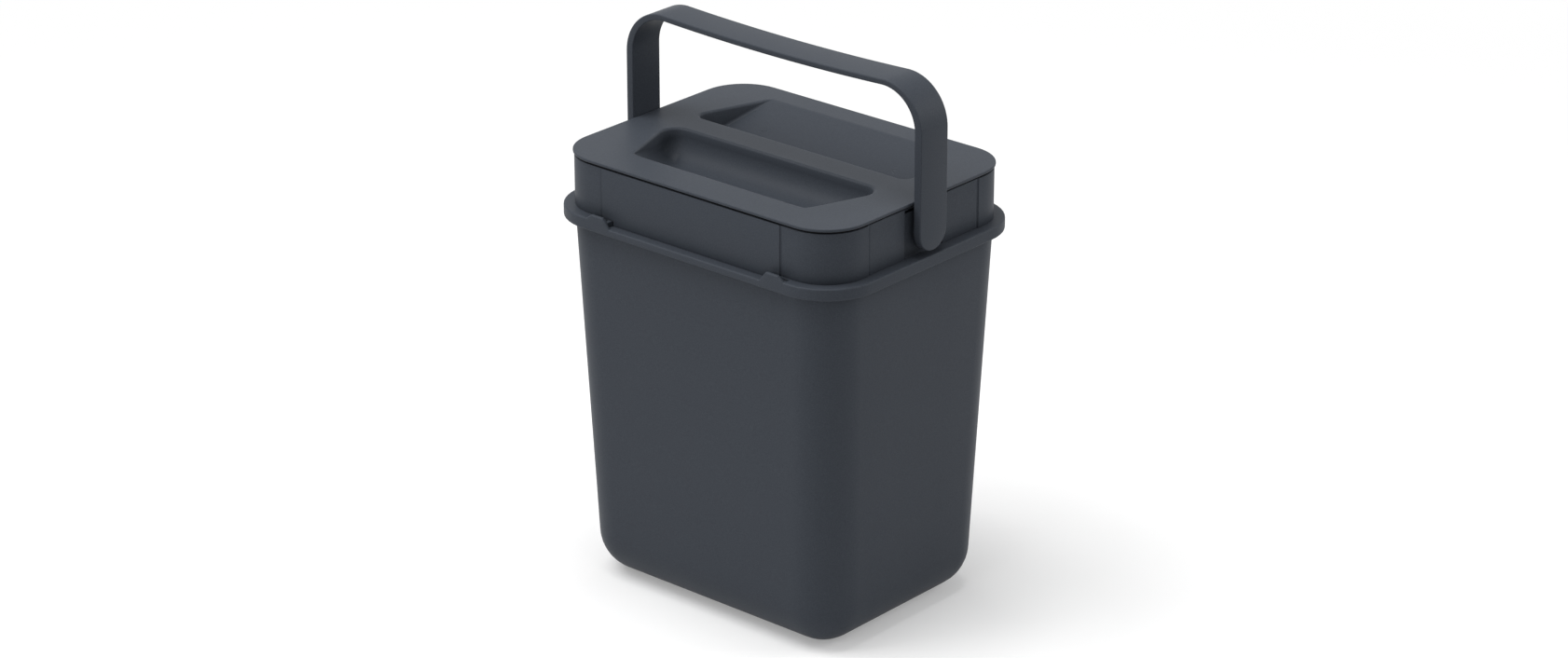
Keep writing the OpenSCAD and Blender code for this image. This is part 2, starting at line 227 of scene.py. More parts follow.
class Mould:
    """Collects the shells of one moulding: millimetre points and faces."""

    def __init__(self):
        self.verts = []
        self.faces = []

    def grid(self, rows, around=False, along=False, skip=()):
        """Quads over rows of points, apart from those in skip, as (row, place) pairs.

        around closes each row on itself, and along joins the last row to the first. Returns
        the number of the first point.
        """
        wide, start = len(rows[0]), len(self.verts)
        self.verts += [p for row in rows for p in row]
        for i in range(len(rows) if along else len(rows) - 1):
            for j in range(wide if around else wide - 1):
                if (i, j) in skip:
                    continue
                a, b = i * wide, (i + 1) % len(rows) * wide
                k = (j + 1) % wide
                self.faces.append(tuple(start + n for n in (a + j, a + k, b + k, b + j)))
        return start

    def cap(self, start, count):
        """One face over the row of count points that begins at start."""
        self.faces.append(tuple(range(start, start + count)))

    def block(self, outline, x0, x1):
        """A prism along X from a (y, z) outline."""
        rows = [[(x, y, z) for y, z in outline] for x in (x0, x1)]
        start = self.grid(rows, around=True)
        self.cap(start, len(outline))
        self.cap(start + len(outline), len(outline))

    def turned(self, profile, y, z, steps=TURNED_STEPS):
        """A ring turned about an X axis at (y, z), from a closed (x, radius) profile."""
        rows = []
        for i in range(steps):
            a = 2 * math.pi * i / steps
            rows.append([(x, y + r * math.cos(a), z + r * math.sin(a)) for x, r in profile])
        self.grid(rows, around=True, along=True)

    def piece(self, name, body, node=None):
        return make_piece(name, self.verts, self.faces, body, node)


# ---------------------------------------------------------------- the neck's outline


def side_steps(half, breaks):
    """Places along one straight side, from -half to half, with a place at every break."""
    places = {-half + 2 * half * i / SIDE_STEPS for i in range(SIDE_STEPS + 1)}
    places |= {s * b for b in breaks if b < half for s in (-1, 1)}
    return sorted(places)


def stations(front_breaks=(), side_breaks=()):
    """Places round the rounded rectangle, anticlockwise from the right side's front end.

    Each is (tx, ty, dx, dy): the share of the corner centre's X and Y, and the outward way.
    """
    out = []
    for side in range(4):
        turn = side * 90
        half, breaks = (CY, side_breaks) if side % 2 == 0 else (CX, front_breaks)
        c, s = round(math.cos(math.radians(turn))), round(math.sin(math.radians(turn)))
        for place in side_steps(half, breaks):
            tx, ty = 1.0, place / half
            out.append((tx * c - ty * s, tx * s + ty * c, c, s))
        for k in range(1, CORNER_STEPS):
            a = math.radians(turn + 90 * k / CORNER_STEPS)
            out.append((c - s, s + c, math.cos(a), math.sin(a)))
    return out


def at(station, radius, z, inset=0.0):
    """The point that lies radius out from the station's place on the core rectangle."""
    tx, ty, dx, dy = station
    return (tx * (CX - inset) + radius * dx, ty * (CY - inset) + radius * dy, z)


def ramp(value, low, high):
    """0 below low, 1 above high, and straight between."""
    return min(1.0, max(0.0, (value - low) / (high - low)))


# an outward way with a share beyond this along an axis belongs to a straight side, and
# places along a side that are this near are the same, in millimetres
SQUARE, SAME_PLACE = 0.999, 0.01


def on_front(station):
    """The X of a place on the straight front side, or None."""
    return station[0] * CX if station[3] < -SQUARE else None


def on_side(station):
    """The Y of a place on a straight left or right side, or None."""
    return station[1] * CY if abs(station[2]) > SQUARE else None


def ledge_height(station):
    """The flange's ledge is lowered between the catch tabs."""
    x = on_front(station)
    return LEDGE if x is None else LEDGE - FRONT_DROP * (1 - ramp(abs(x), *LEDGE_RISE))


def skirt_top(station):
    """The skirt's upper edge follows the ledge and rises into the catch tabs."""
    x = on_front(station)
    if x is None:
        return LEDGE
    x = abs(x)
    up = ramp(x, DROP_HALF - 1, TAB_TOP[0]) * (FRONT_DROP + TAB_HIGH) - FRONT_DROP
    return LEDGE + up - TAB_HIGH * ramp(x, TAB_TOP[1], TAB_END)


# places along the front, so that the drop, the tabs and the slots keep their corners
FLANGE_BREAKS = (58.0, DROP_HALF - 1, 59.2, *LEDGE_RISE, 62.4, 63.1, TAB_TOP[0], SLOT_X[0],
                 63.9, 72.1, TAB_TOP[1], 72.9, 76.1, TAB_END, SLOT_X[1])
# the step at the end of a panel, with the fine line that runs along its foot
STEP = (-1.6, -0.3, -0.1, 0.15, 0.45, 0.75, 1.05, 1.35, 1.6, 2.4)
STEP_WIDE = 0.3
LINE_AT, LINE_HALF, LINE_DEEP = 0.75, 0.85, 0.24
PANEL_BREAKS = tuple(PANEL_HALF + d for d in STEP)
SIDE_BREAKS = tuple(SIDE_HALF - d for d in STEP)
# the frame's lower edge steps up just inside the place where the ledge does
FRAME_RISE = (60.0, 60.3)

# ---------------------------------------------------------------- bin


def body_wall(grow, top):
    """The tapered wall and ball-cornered foot as (inset, radius, z), from top to the base."""
    foot = BODY_TAPER * (SKIRT - BODY_R)
    out = []
    for i in range(WALL_STEPS + 1):
        z = top + (BODY_R - top) * i / WALL_STEPS
        out.append((BODY_TAPER * (SKIRT - z), BODY_R + grow, z))
    for i in range(1, FOOT_STEPS + 1):
        a = math.pi / 2 * i / FOOT_STEPS
        z = BODY_R - (BODY_R + grow) * math.sin(a)
        out.append((foot, (BODY_R + grow) * math.cos(a), max(z, BASE_Z)))
    return out


def bin_profile(station):
    """One cut through the bin, as (inset, radius, z).

    It runs from the middle of the base's inside over the flange to the middle of its
    underside. Also given are the places of the slot's two ends on the ledge, and the place
    of the first one on the ledge's underside.
    """
    ledge, top = ledge_height(station), skirt_top(station)
    under = ledge - FLANGE_THICK
    inside = body_wall(-WALL, min(under, LEDGE - FLANGE_THICK) - 0.5)[::-1]
    rim = rounded([(BIN_RIM_IN - 0.2, under, 0), (BIN_RIM_IN, under + 1, 0),
                   (BIN_RIM_IN, BIN_RIM_TOP, 0.5), (BIN_RIM_OUT, BIN_RIM_TOP, 0.5),
                   (BIN_RIM_OUT, ledge, 0.4), (SLOT_R[0], ledge, 0)], closed=False, steps=2)
    wall_in = FLANGE_R - FLANGE_THICK
    tab = [(SLOT_R[1], ledge), (wall_in - 0.25, ledge), (wall_in, max(ledge, top - 0.4)),
           (wall_in + 0.25, top)]
    skirt = arc((FLANGE_R - SKIRT_ROUND, top - SKIRT_ROUND), SKIRT_ROUND, 90, 0, 5)
    hem = rounded([(FLANGE_R, SKIRT + 1.5, 0), (FLANGE_R, SKIRT, 0.6), (wall_in, SKIRT, 0.6),
                   (wall_in, under, 0.8), (SLOT_R[1], under, 0)], closed=False, steps=3)
    back = rounded([(SLOT_R[0], under, 0), (BODY_R + 0.2, under, 0.5),
                    (BODY_R, under - 1.5, 0)], closed=False, steps=2)
    flat = [(0.0, r, z) for r, z in rim + tab + skirt + hem + back]
    outside = body_wall(0.0, under - 2.0)
    foot = outside[-1][0]
    base = [(foot + BASE_RING, 0.0, BASE_Z), (foot + BASE_RING + 1, 0.0, BASE_RECESS)]
    marks = len(inside) + len(rim) - 1, len(inside) + len(rim)
    under_marks = len(inside) + len(rim + tab + skirt + hem) - 1
    return inside + flat + outside + base, marks, under_marks


def build_bin():
    """The bin is one shell, swept round the neck's outline, with the two slots cut through."""
    mould = Mould()
    places = stations(front_breaks=FLANGE_BREAKS, side_breaks=(CHANNEL_HALF,))
    rows, marks, under_mark = [], None, None
    for station in places:
        profile, marks, under_mark = bin_profile(station)
        rows.append([at(station, r, z, inset) for inset, r, z in profile])
    in_slot = [i for i, s in enumerate(places) if on_front(s) is not None
               and SLOT_X[0] - SAME_PLACE <= abs(on_front(s)) <= SLOT_X[1] + SAME_PLACE]
    runs = [[i for i in in_slot if on_front(places[i]) < 0],
            [i for i in in_slot if on_front(places[i]) > 0]]
    skip = {(i, j) for run in runs for i in run[:-1] for j in (marks[0], under_mark)}
    start = mould.grid(rows, along=True, skip=skip)
    wide = len(rows[0])
    top = (marks[0], marks[1])
    low = (under_mark + 1, under_mark)
    for run in runs:
        for i in run[:-1]:
            for t, b in zip(top, low):
                mould.faces.append(tuple(start + n for n in (
                    i * wide + t, (i + 1) * wide + t, (i + 1) * wide + b, i * wide + b)))
        for i in (run[0], run[-1]):
            mould.faces.append(tuple(start + i * wide + n for n in (*top, low[1], low[0])))
    for j in (0, wide - 1):
        mould.faces.append(tuple(start + i * wide + j for i in range(len(rows))))
    for s in (-1, 1):
        add_ear(mould, s)
    return mould.piece("bin_moulding", "bin", "bin_body")


def add_ear(mould, s):
    """A thick patch of the bin's rim with a boss round the handle's stud."""
    x0, x1 = (s * x for x in EAR_X)
    half, low, high = CHANNEL_HALF - EAR_INSET, LEDGE - 1, BIN_RIM_TOP
    bore = STUD_R + STUD_CLEAR
    rings = []
    for x in (x0, x1):
        hole, edge = [], []
        for i in range(EAR_STEPS):
            a = 2 * math.pi * (i + 0.5) / EAR_STEPS
            c, sn = math.cos(a), math.sin(a)
            reach = min(half / max(abs(c), 1e-6),
                        ((high if sn > 0 else low) - PIVOT_Z) / (sn if abs(sn) > 1e-6 else 1e-6))
            hole.append((x, bore * c, PIVOT_Z + bore * sn))
            edge.append((x, reach * c, PIVOT_Z + reach * sn))
        rings += [hole, edge] if x == x0 else [edge, hole]
    mould.grid(rings, around=True, along=True)
    face = LEG_OUT - LEG_THICK - SIDE_GAP
    mould.turned([(s * x, r) for x, r in rounded(
        [(EAR_X[1] - 0.5, bore, 0), (EAR_X[1] - 0.5, BOSS_R, 0), (face, BOSS_R, 0.4),
         (face, bore, 0.3)])], 0, PIVOT_Z)


# ---------------------------------------------------------------- neck frame


def frame_face(station):
    """How far the frame's outer face stands off its plain radius."""
    x, y = on_front(station), on_side(station)
    if x is not None:
        past = abs(x) - PANEL_HALF
        high = PANEL_PROUD * (1 - ramp(past, -STEP_WIDE, 0.0))
    elif y is not None:
        past = SIDE_HALF - abs(y)
        high = -SIDE_DEEP * ramp(past, -STEP_WIDE, 0.0)
    else:
        return 0.0
    return high - LINE_DEEP * max(0.0, 1 - abs(past - LINE_AT) / LINE_HALF)


def frame_bottom(station):
    """The frame stands on the ledge, and follows its lowered stretch."""
    x = on_front(station)
    return LEDGE if x is None else LEDGE - FRONT_DROP * (1 - ramp(abs(x), *FRAME_RISE))


def build_neck_frame():
    """The collar with its panels, the ring inside it, and the hinge's lugs."""
    mould = Mould()
    places = stations(PANEL_BREAKS + FRAME_RISE, SIDE_BREAKS + (CHANNEL_HALF,))
    # two outer halves, which end at the channels for the handle's legs
    ends = [i for i, s in enumerate(places)
            if on_side(s) is not None and abs(abs(on_side(s)) - CHANNEL_HALF) < SAME_PLACE]
    right_low, right_high, left_high, left_low = ends
    for run in (range(right_high, left_high + 1), range(left_low, right_low + len(places) + 1)):
        rows = []
        for i in run:
            station = places[i % len(places)]
            out, foot = COLLAR_R + frame_face(station), frame_bottom(station)
            # a low lip stands round the seal's outer edge
            profile = rounded([
                (COLLAR_R - FRAME_WALL, foot, 0), (out, foot, 0.4),
                (out, RIM + FRAME_LIP, 0.35), (LIP_IN, RIM + FRAME_LIP, 0.1), (LIP_IN, RIM, 0.1),
                (CHANNEL_R, RIM, 0), (CHANNEL_R, RIM - FRAME_TOP_THICK, 0),
                (COLLAR_R - FRAME_WALL, RIM - FRAME_TOP_THICK, 0)])
            rows.append([at(station, r, z) for r, z in profile])
        start = mould.grid(rows, around=True)
        mould.cap(start, len(rows[0]))
        mould.cap(start + (len(rows) - 1) * len(rows[0]), len(rows[0]))
    # the inner ring reaches a little into the two halves, and shares no face with them
    inner = rounded([
        (CHANNEL_R + RING_OVERLAP, RIM - 1.9, 0), (CHANNEL_R + RING_OVERLAP, RIM - 0.1, 0),
        (CHANNEL_R - 0.2, RIM, 0), (FRAME_IN, RIM, 0.7), (FRAME_IN, RIM - FRAME_DEEP, 0.5),
        (FRAME_IN + FRAME_WALL, RIM - FRAME_DEEP, 0.5), (FRAME_IN + FRAME_WALL, RIM - 1.9, 0.5)])
    mould.grid([[at(s, r, z) for r, z in inner] for s in stations()], around=True, along=True)
    for s in (-1, 1):
        for t in (-1, 1):
            add_lug(mould, s * HINGE_X + t * (KNUCKLE_WIDE / 2 + SIDE_GAP + LUG_WIDE / 2))
    return mould.piece("neck_frame_moulding", "bin", "neck_frame")


def pierced_roll(mould, x0, x1, bore):
    """A round knuckle or lug about the hinge axis, with softened ends."""
    mould.turned(rounded([(x0, bore, 0.15), (x0, KNUCKLE_R, 0.4), (x1, KNUCKLE_R, 0.4),
                          (x1, bore, 0.15)]), HINGE_Y, HINGE_Z, steps=ROLL_STEPS)


def add_lug(mould, x):
    """A lug on the hinge axis and the web that carries it from the frame's rear wall."""
    x0, x1 = x - LUG_WIDE / 2, x + LUG_WIDE / 2
    pierced_roll(mould, x0, x1, LUG_BORE)
    wall, edge = CY + COLLAR_R - 0.9, HINGE_Y - KNUCKLE_R / 2
    mould.block([(wall, HINGE_Z - ROLL_FLAT - 2), (edge, HINGE_Z - ROLL_FLAT),
                 (edge, HINGE_Z + ROLL_FLAT), (wall, HINGE_Z + ROLL_FLAT + 0.4)],
                x0 + 0.1, x1 - 0.1)


# ---------------------------------------------------------------- lid

WELLS = {
    # side: -1 front, 1 rear. inner and outer are distances from the lid's middle. top is the
    # radius over the edge, foot and end_foot the radii down at the bridge's wall and at the
    # ends, corners the radii in plan
    "front": dict(side=-1, inner=7.0, outer=58.3, depth=19.0, scoop=True, top=1.9, foot=15.0,
                  end_foot=12.0, corners=(10, 5)),
    "rear": dict(side=1, inner=14.0, outer=66.0, depth=18.5, scoop=False, top=1.9, foot=4.0,
                 end_foot=1.8, corners=(6, 4)),
}
# half the wells' length at the bridge, and how much shorter that is at the outer edge
WELL_LONG = 84.0
WELL_LEAN = 17.5
# the wells' floors turn into the lid's top over this reach to either side
FLOOR_SOFT = 1.2
# the foot's rounding begins this far inside the upright wall
FOOT_START = 0.02
WELL_EDGE_STEPS = 14
WELL_END_STEPS = 12
WELL_CORNER_STEPS = 8


def well_outline(well, inward):
    """The well's trapezoid, moved inward, as points (x, distance from the lid's middle, share).

    share is 1 along the bridge's wall, 0 along the ends, and None along the outer edge.
    """
    inner, outer = well["inner"], well["outer"]
    slope = WELL_LEAN / (outer - inner)
    lean = math.atan(slope)
    low, high = inner + inward, outer - inward
    shift = inward / math.cos(lean)
    wide = [WELL_LONG - (v - inner) * slope - shift for v in (low, high)]
    r_low, r_high = (max(0.5, r - inward) for r in well["corners"])
    across, corner, ends = WELL_EDGE_STEPS, WELL_CORNER_STEPS, WELL_END_STEPS
    c_low = (wide[0] - r_low / math.tan(math.pi / 4 - lean / 2), low + r_low)
    c_high = (wide[1] - r_high * math.tan(math.pi / 4 - lean / 2), high - r_high)
    half = [(c_low[0] * i / across, low, 1.0) for i in range(across)]
    half += [(x, v, 1 - i / corner) for i, (x, v) in enumerate(
        arc(c_low, r_low, -90, math.degrees(lean), corner))]
    first, last = half[-1], arc(c_high, r_high, math.degrees(lean), 90, corner)[0]
    half += [(first[0] + (last[0] - first[0]) * i / ends,
              first[1] + (last[1] - first[1]) * i / ends, 0.0) for i in range(1, ends)]
    half += [(x, v, None) for x, v in arc(c_high, r_high, math.degrees(lean), 90, corner)]
    half += [(c_high[0] * (1 - i / across), high, None) for i in range(1, across + 1)]
    return half + [(-x, v, share) for x, v, share in half[-2:0:-1]]


def floor_depth(well, v):
    """Depth of the well's floor at distance v from the lid's middle: a scoop or a ramp."""
    inner, outer, depth = well["inner"], well["outer"], well["depth"]
    soft = FLOOR_SOFT
    if not well["scoop"]:
        slope = depth / (outer - inner)
        reach = outer - v
        deep = slope * reach
    else:
        low = inner + well["foot"]
        run = outer - low
        radius = (run * run + depth * depth) / (2 * depth)
        slope = run / (radius - depth)
        off = min(max(0.0, v - low), run)
        reach = outer - v
        deep = depth - radius + math.sqrt(radius * radius - off * off)
    # the floor turns into the lid's top over a small radius
    if reach < -soft:
        return 0.0
    if reach < soft:
        return slope * (reach + soft) ** 2 / (4 * soft)
    return deep


def fillet_rise(radius, gone):
    """Height above the floor at a distance from an upright wall with a foot of that radius."""
    if gone >= radius:
        return 0.0
    return radius - math.sqrt(radius * radius - (radius - max(0.0, gone)) ** 2)


def well_rings(well):
    """Rings of points from the lid's plane down the walls and across the floor.

    Each ring is (how far inward of the well's outline, how far down the edge's rounding or
    None): first those over the rounded edge, then those down the foot's rounding, closer
    together near the wall, then those across the rest of the floor.
    """
    inner, outer, top = well["inner"], well["outer"], well["top"]
    slope = WELL_LEAN / (outer - inner)
    half = (outer - inner) / 2
    over = [(-top - 0.3, 0.0)]
    over += [(-top + top * math.sin(math.radians(a)), top * (1 - math.cos(math.radians(a))))
             for a in range(0, 90, 15)]
    reach = max(well["foot"], well["end_foot"])
    down = [(FOOT_START + reach * (1 - math.cos(math.radians(7.5 * i))), None) for i in range(12)]
    last = down[-1][0]
    down += [(last + (half - 1.5 - last) * i / 6, None) for i in range(1, 7)]
    rings = []
    for inward, drop in over + down:
        ring = []
        for x, v, share in well_outline(well, inward):
            depth = floor_depth(well, v)
            to_end = (WELL_LONG - (v - inner) * slope - abs(x)) * math.cos(math.atan(slope))
            if share is None:
                gone, foot = min(to_end, v - inner), well["end_foot"]
            else:
                gone, foot = inward, well["end_foot"] + share * (well["foot"] - well["end_foot"])
            full = min(1.0, depth / (foot + top))
            if share is None and gone > foot:
                fall = depth
            elif drop is not None and gone <= FOOT_START:
                fall = drop * full
            else:
                fall = depth - fillet_rise(foot, gone) * full
            ring.append((x, well["side"] * v, TOP - max(0.0, fall)))
        rings.append(ring)
    return rings


def build_lid():
    """The lid's top is one sheet with both wells, thickened downwards.

    The locating rim under it and the hinge's knuckles are a piece of their own.
    """
    shape = bmesh.new()
    edge_loops = []

    def loop_of(points):
        return [shape.verts.new(Vector(p) / 1000) for p in points]

    def join(a, b):
        count = len(a)
        for i in range(count):
            k = (i + 1) % count
            shape.faces.new((a[i], a[k], b[k], b[i]))

    places = stations()
    rim = [loop_of([at(s, r, TOP) for s in places]) for r in (LID_R, LID_R - LID_EDGE_BAND)]
    join(rim[0], rim[1])
    edge_loops.append(rim[1])
    # only the lid's own edge is softened by the bevel
    softened = shape.edges.layers.float.new("bevel_weight_edge")
    for i, vert in enumerate(rim[0]):
        shape.edges.get((vert, rim[0][i - 1]))[softened] = 1.0
    for well in WELLS.values():
        loops = [loop_of(ring) for ring in well_rings(well)]
        for a, b in zip(loops, loops[1:]):
            join(a, b)
        edge_loops.append(loops[0])
        # the last ring is closed by quads from its inner row across to its outer row
        right = loops[-1][:len(loops[-1]) // 2 + 1]
        left = [right[0]] + loops[-1][:len(right) - 2:-1]
        for row in (right, left):
            far = len(row) - 1
            for i in range(far // 2 - 1):
                shape.faces.new((row[i], row[i + 1], row[far - i - 1], row[far - i]))
            shape.faces.new(row[far // 2 - 1:far // 2 + 2])
    edges = []
    for loop in edge_loops:
        edges += [shape.edges.get((loop[i], loop[(i + 1) % len(loop)]))
                  or shape.edges.new((loop[i], loop[(i + 1) % len(loop)]))
                  for i in range(len(loop))]
    bmesh.ops.triangle_fill(shape, edges=edges, use_beauty=True)
    bmesh.ops.recalc_face_normals(shape, faces=shape.faces)
    if sum(f.normal.z * f.calc_area() for f in shape.faces) < 0:
        bmesh.ops.reverse_faces(shape, faces=shape.faces)
    mesh = bpy.data.meshes.new("lid_moulding")
    shape.to_mesh(mesh)
    shape.free()
    mesh.shade_smooth()
    lid = link_object("lid_moulding", mesh)
    thick = lid.modifiers.new("thick", "SOLIDIFY")
    thick.thickness, thick.offset = LID_THICK / 1000, -1
    soft = lid.modifiers.new("soft_edge", "BEVEL")
    soft.width, soft.segments, soft.limit_method = LID_EDGE_SOFT / 1000, 3, "WEIGHT"
    soft.harden_normals = True
    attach(lid, "lid")
    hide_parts("lid")
    mould = Mould()
    inside, high, low = PLUG_R - PLUG_THICK, LID_UNDER + 0.5, LID_UNDER - PLUG_DEEP
    ring = rounded([(inside, high, 0), (inside, low, 0.6), (PLUG_R, low, 0.6),
                    (PLUG_R, high, 0)])
    mould.grid([[at(s, r, z) for r, z in ring] for s in places], around=True, along=True)
    for s in (-1, 1):
        add_knuckle(mould, s)
    return lid, mould.piece("lid_rim_and_knuckles", "lid")


def add_knuckle(mould, s):
    """A knuckle on the hinge axis and the arm that carries it from the lid's rear edge."""
    x0, x1 = s * HINGE_X - KNUCKLE_WIDE / 2, s * HINGE_X + KNUCKLE_WIDE / 2
    pierced_roll(mould, x0, x1, KNUCKLE_BORE)
    edge, inner, outer = CY + LID_R, HINGE_Y - ROLL_FLAT, HINGE_Y + ROLL_FLAT
    mould.block(rounded([
        (inner, HINGE_Z + 1.4, 0), (outer - 0.1, HINGE_Z + 1.4, 0),
        (outer - 0.4, HINGE_Z + 4.5, 1.2), (edge + 0.3, TOP - 0.6, 0.5), (edge - 2, TOP - 0.6, 0),
        (edge - 2, LID_UNDER + 0.4, 0), (inner, LID_UNDER - 0.5, 0)]), x0 + 0.1, x1 - 0.1)


def build_seal():
    """The elastomer ring under the lid, with rounded corners on its lower face."""
    low, high = RIM + 0.1, LID_UNDER
    mould = Mould()
    inner, outer = FRAME_IN + 0.5, COLLAR_R - 1
    ring = rounded([(inner, high, 0), (inner, low, 0.4), (outer, low, 0.5), (outer, high, 0)])
    mould.grid([[at(s, r, z) for r, z in ring] for s in stations()], around=True, along=True)
    return mould.piece("seal_ring", "lid", "lid_seal")


# ---------------------------------------------------------------- handle


# points along a leg, a bend and half the bar, round a leg's end, and over half the rim
LEG_STEPS, BEND_STEPS, BAR_STEPS = 8, 18, 12
LEG_END_STEPS = 14
RIM_STEPS = 5


def strap_path():
    """Places along the strap from the left leg's pivot to the right one's.

    Each is (middle point in XZ, outward normal in XZ, half thickness).
    """
    out_c = (LEG_OUT - BEND_R, STRAP_HIGH.z - BEND_R)
    in_r = BEND_R - (LEG_THICK + BAR_THICK) / 2
    in_c = (LEG_OUT - LEG_THICK - in_r, STRAP_HIGH.z - BAR_THICK - in_r)
    shares = [i / LEG_STEPS for i in range(LEG_STEPS)]
    outer = [(LEG_OUT, PIVOT_Z + (out_c[1] - PIVOT_Z) * u) for u in shares]
    inner = [(LEG_OUT - LEG_THICK, PIVOT_Z + (in_c[1] - PIVOT_Z) * u) for u in shares]
    outer += arc(out_c, BEND_R, 0, 90, BEND_STEPS)
    inner += arc(in_c, in_r, 0, 90, BEND_STEPS)
    for i in range(1, BAR_STEPS + 1):
        u = i / BAR_STEPS
        sag = BAR_SAG * (2 * u - u * u)
        outer.append((out_c[0] * (1 - u), STRAP_HIGH.z - sag))
        inner.append((in_c[0] * (1 - u), STRAP_HIGH.z - BAR_THICK - sag))
    outer += [(-x, z) for x, z in outer[-2::-1]]
    inner += [(-x, z) for x, z in inner[-2::-1]]
    places = []
    for o, i in zip(outer, inner):
        o, i = Vector(o), Vector(i)
        places.append(((o + i) / 2, (o - i).normalized(), (o - i).length / 2))
    return places


def build_strap():
    """The strap is lofted from rings.

    Each ring is the strap's long outline, a stadium, drawn in or out over its rounded rim.
    """
    mould = Mould()
    places = strap_path()
    rim, bend = STRAP_RIM, LEG_END_STEPS
    rings = []
    section = []
    for face, low in ((-1, -90), (1, 0)):
        for i in range(RIM_STEPS + 1):
            a = math.radians(low + 90 * i / RIM_STEPS)
            section.append((rim * (1 - math.cos(a)), face, math.sin(a)))

    def ring_point(place, along, y, face, lift):
        """A point of the strap, y across it.

        along shifts it down the leg; face and lift place it in the thickness.
        """
        middle, normal, half = place
        off = face * (half - rim) + lift * rim
        tangent = Vector((normal.y, -normal.x))
        spot = middle + normal * off + tangent * along
        return (spot.x, y, spot.y)

    left, right = places[-1], places[0]
    for inset, face, lift in section:
        reach = STRAP_HALF - inset
        ring = []
        for k in range(bend + 1):
            a = math.pi * k / bend
            ring.append(ring_point(right, reach * math.sin(a), reach * math.cos(a), face, lift))
        ring += [ring_point(p, 0, -reach, face, lift) for p in places[1:-1]]
        for k in range(bend + 1):
            a = math.pi * k / bend
            ring.append(ring_point(left, -reach * math.sin(a), -reach * math.cos(a), face, lift))
        ring += [ring_point(p, 0, reach, face, lift) for p in places[-2:0:-1]]
        rings.append(ring)
    start = mould.grid(rings, around=True)
    wide = len(rings[0])
    run = len(places) - 2
    for base in (start, start + (len(rings) - 1) * wide):
        # across the flat faces: the leg ends first, then the run between them
        for first in (0, bend + 1 + run):
            for k in range(bend // 2):
                a, b = first + k, first + bend - k
                quad = (a, a + 1, b - 1, b) if a + 1 < b - 1 else (a, a + 1, b)
                mould.faces.append(tuple(base + n for n in quad))
        near = [bend] + [bend + 1 + i for i in range(run)] + [bend + 1 + run]
        far = [0] + [wide - 1 - i for i in range(run)] + [2 * bend + 1 + run]
        for i in range(len(near) - 1):
            mould.faces.append(tuple(base + n for n in (near[i], near[i + 1], far[i + 1], far[i])))
    for s in (-1, 1):
        add_stud(mould, s)
    return mould.piece("strap_handle", "bail", "bail_handle")


def add_stud(mould, s):
    """A pivot stud moulded on the leg's inner face, with a snap head inside the ear."""
    root, head = LEG_OUT - LEG_THICK + 0.5, EAR_X[0] - SIDE_GAP
    tip = head - SNAP_LONG
    profile = rounded([(root, 0.05, 0), (root, STUD_R, 0), (head, STUD_R, 0),
                       (head, SNAP_R, 0.2), (tip, SNAP_TIP_R, 0.3), (tip, 0.05, 0)])
    mould.turned([(s * x, r) for x, r in profile], 0, PIVOT_Z)


# ---------------------------------------------------------------- materials


def linear(hex_colour):
    """An sRGB hex colour as linear RGBA."""
    parts = [int(hex_colour[i:i + 2], 16) / 255 for i in (1, 3, 5)]
    return tuple(c / 12.92 if c <= 0.04045 else ((c + 0.055) / 1.055) ** 2.4
                 for c in parts) + (1.0,)


def add_node(owner, kind, links=(), **settings):
    """Adds a node to a material or the world.

    settings are its inputs or properties; links are (output, input) pairs.
    """
    tree = owner.node_tree
    node = tree.nodes.new(kind)
    for key, value in settings.items():
        name = key.replace("_", " ")
        match = [s for s in node.inputs if s.name.lower() == name.lower()]
        if match:
            match[0].default_value = value
        else:
            setattr(node, key, value)
    for output, target in links:
        tree.links.new(output, node.inputs[target])
    return node


# the pits of the mould's grain hide part of the surface's mirror gloss
SPARKED_GLOSS = 0.1
# the charcoal of the bin, frame, lid and strap, and a paler charcoal: a highlight painted on the
# grain's peaks
CHARCOAL, CHARCOAL_PEAK_HIGHLIGHT = "#373b42", "#3f444b"
# the seal's near-black rubber, whose darkness also paints the shade in the gap under the lid, and
# the highlight painted on its grain's peaks
RUBBER_AND_GAP_SHADE, RUBBER_PEAK_HIGHLIGHT = "#17181a", "#1d1e20"
# a spark-eroded grain is about 0.2 mm across, too fine to show, so it is drawn coarser
GRAIN_MM, RUBBER_GRAIN_MM = 0.7, 0.9
# the melt's flow marks are some 40 mm long
FLOW_MM = 42.0
PLASTIC_IOR = 1.49
GRAIN_STRENGTH = 0.35
# the grain's pits and peaks, as shares of the noise
PIT, PEAK = 0.35, 0.75
# drawing lines are about 0.05 mm apart, also drawn coarser; they run along the pin
DRAW_LINE_MM = 0.25
DRAW_STRETCH = 0.04


def new_material(name):
    """A material with its node tree and its Principled shader."""
    material = bpy.data.materials.new(name)
    material.use_nodes = True
    return material, material.node_tree, material.node_tree.nodes["Principled BSDF"]


